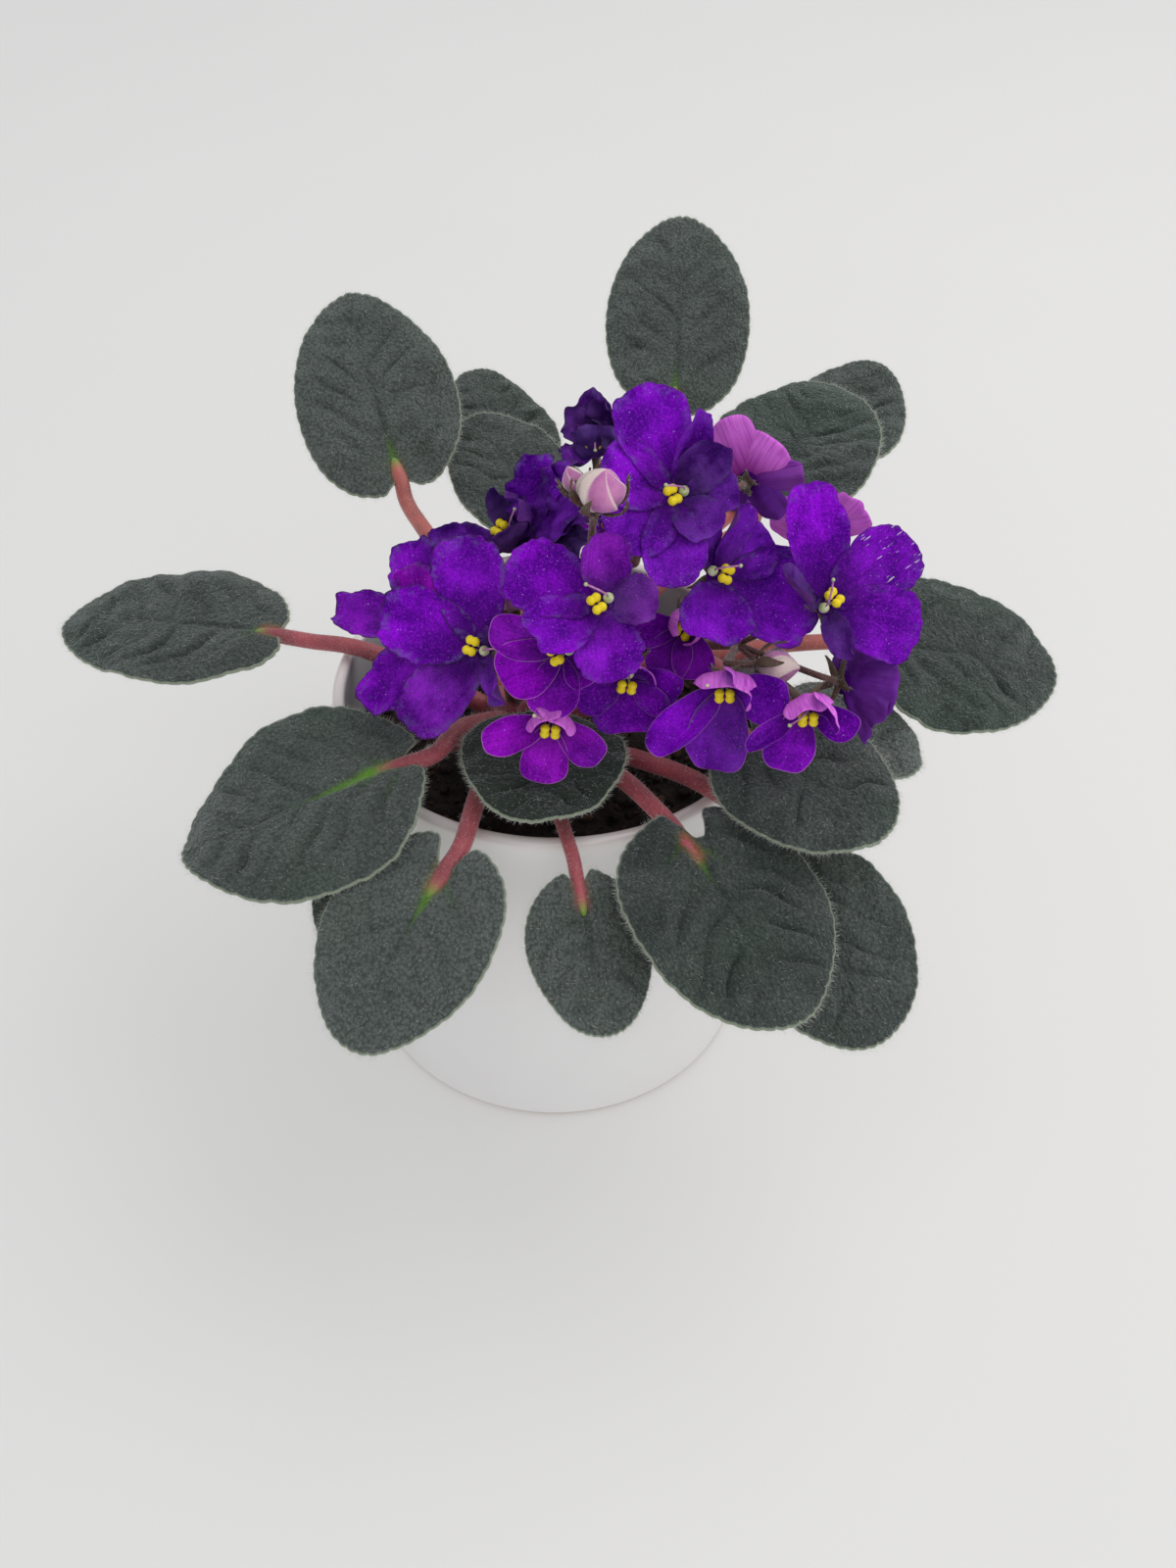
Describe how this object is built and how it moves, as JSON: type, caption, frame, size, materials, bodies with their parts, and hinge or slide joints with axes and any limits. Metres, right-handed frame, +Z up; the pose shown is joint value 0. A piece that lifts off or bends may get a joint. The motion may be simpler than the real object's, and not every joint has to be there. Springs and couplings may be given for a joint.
{
  "type": "potted african violet",
  "caption": "African violet with a rosette of downy scalloped leaves on red stalks and a head of violet blooms, in a plain white glazed cylinder pot of soil.",
  "frame": {"origin": "centre of the pot's flat underside", "axes": "+Z up along the pot's axis, -Y towards the front of the plant, where its blooms lean, +X to the right seen from the front"},
  "size_m": [0.2797, 0.2771, 0.2065],
  "materials": {
    "pot_glaze": "gloss",
    "soil": "matte",
    "stalk": "satin",
    "leaf": "matte",
    "petal": "matte",
    "young_petal": "matte",
    "bud": "satin",
    "anther": "matte"
  },
  "bodies": {
    "root": {"pot": "pot_glaze", "soil": "soil", "stem_and_stalks": "stalk", "leaf_left": "leaf", "leaf_back_left": "leaf", "leaf_back_left_low": "leaf", "leaf_back": "leaf", "leaf_back_raised": "leaf", "leaf_back_right_low": "leaf", "leaf_back_right": "leaf", "leaf_right": "leaf", "leaf_right_low": "leaf", "leaf_front_right": "leaf", "leaf_front_right_low": "leaf", "leaf_front_right_under": "leaf", "leaf_front_small": "leaf", "leaf_front_left": "leaf", "leaf_left_low": "leaf", "leaf_front_inner": "leaf", "leaf_left_under": "leaf", "bloom_left": "petal", "anthers_left": "anther", "bloom_far_left": "petal", "anthers_far_left": "anther", "bloom_back_left": "petal", "anthers_back_left": "anther", "bloom_withered": "young_petal", "anthers_withered": "anther", "bloom_top": "petal", "anthers_top": "anther", "bloom_centre": "petal", "anthers_centre": "anther", "bloom_front_left": "young_petal", "anthers_front_left": "anther", "bloom_inner_right": "young_petal", "anthers_inner_right": "anther", "bloom_right": "petal", "anthers_right": "anther", "bloom_far_right": "petal", "anthers_far_right": "anther", "bloom_low_right": "young_petal", "anthers_low_right": "anther", "bloom_low_far_right": "young_petal", "anthers_low_far_right": "anther", "bloom_front_low": "young_petal", "anthers_front_low": "anther", "bloom_back_right": "petal", "anthers_back_right": "anther", "bloom_back_far_right": "young_petal", "anthers_back_far_right": "anther", "bloom_right_turned": "young_petal", "anthers_right_turned": "anther", "bloom_front_under": "young_petal", "anthers_front_under": "anther", "bloom_inner": "young_petal", "anthers_inner": "anther", "bud_top": "bud", "bud_top_small": "bud", "bud_left": "bud", "bud_right": "bud"}
  },
  "joints": []
}
